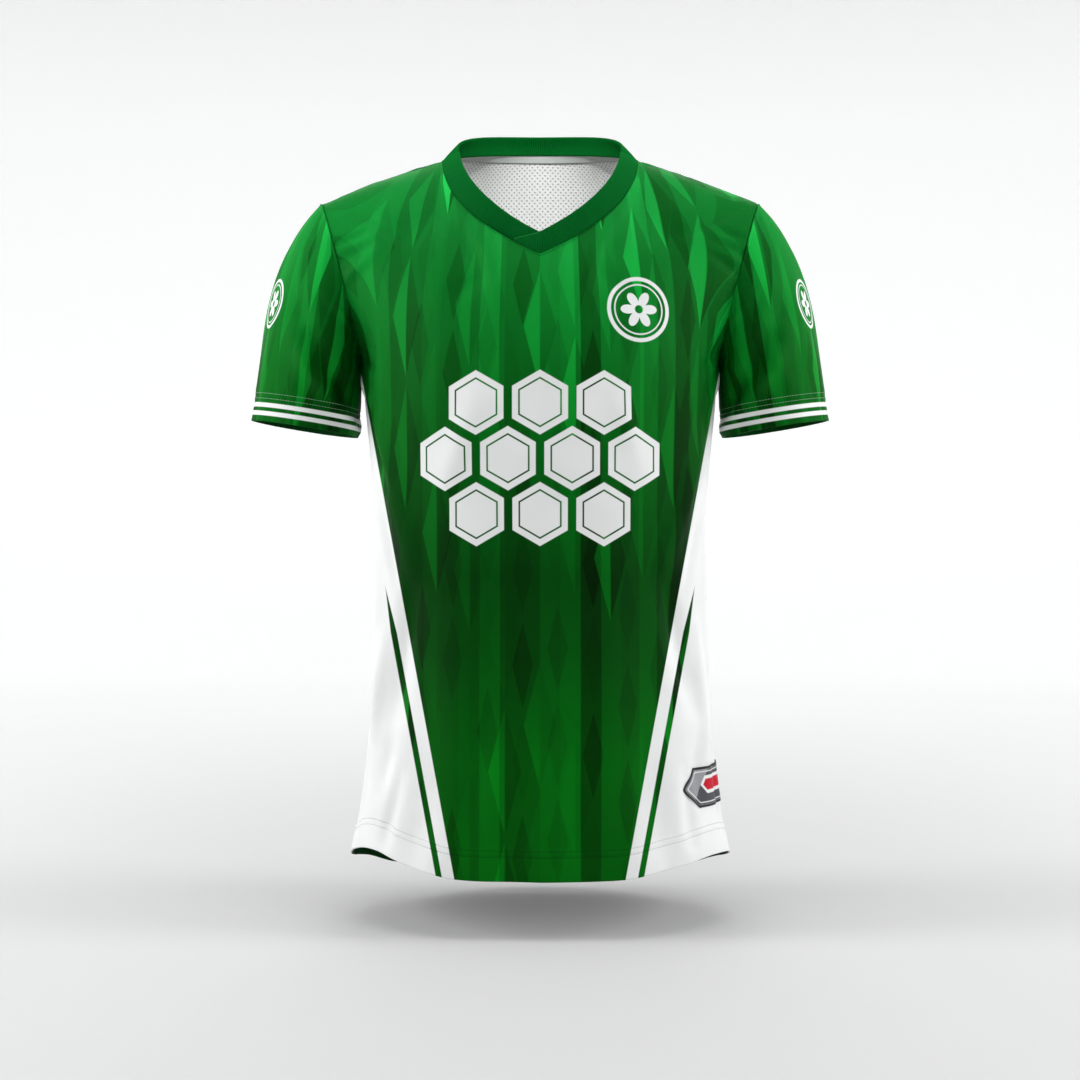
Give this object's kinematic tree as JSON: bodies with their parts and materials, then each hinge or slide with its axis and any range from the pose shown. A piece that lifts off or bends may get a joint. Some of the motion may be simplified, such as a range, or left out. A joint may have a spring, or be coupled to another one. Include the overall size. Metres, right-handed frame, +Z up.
{
  "type": "football jersey",
  "caption": "Short-sleeved V-neck football jersey in its worn form, hollow, with set-in sleeves, rib collar, turned hems and white side panels.",
  "frame": {"origin": "midway between the two neck points, where the shoulder seams meet the collar: the wearer's shoulders carry the jersey there", "axes": "+Z up, -Y the way the front faces, +X the wearer's left"},
  "size_m": [0.576, 0.2511, 0.7637],
  "materials": {
    "printed_knit": "printed polyester knit with a soft sheen",
    "rib_knit": "dark green rib knit",
    "neck_tape": "woven grey tape",
    "woven_label": "woven label, charcoal and grey"
  },
  "bodies": {
    "root": {"front": "printed_knit", "back": "printed_knit", "sleeve_right": "printed_knit", "sleeve_left": "printed_knit", "collar": "rib_knit", "neck_tape": "neck_tape", "side_label": "woven_label"}
  },
  "joints": []
}
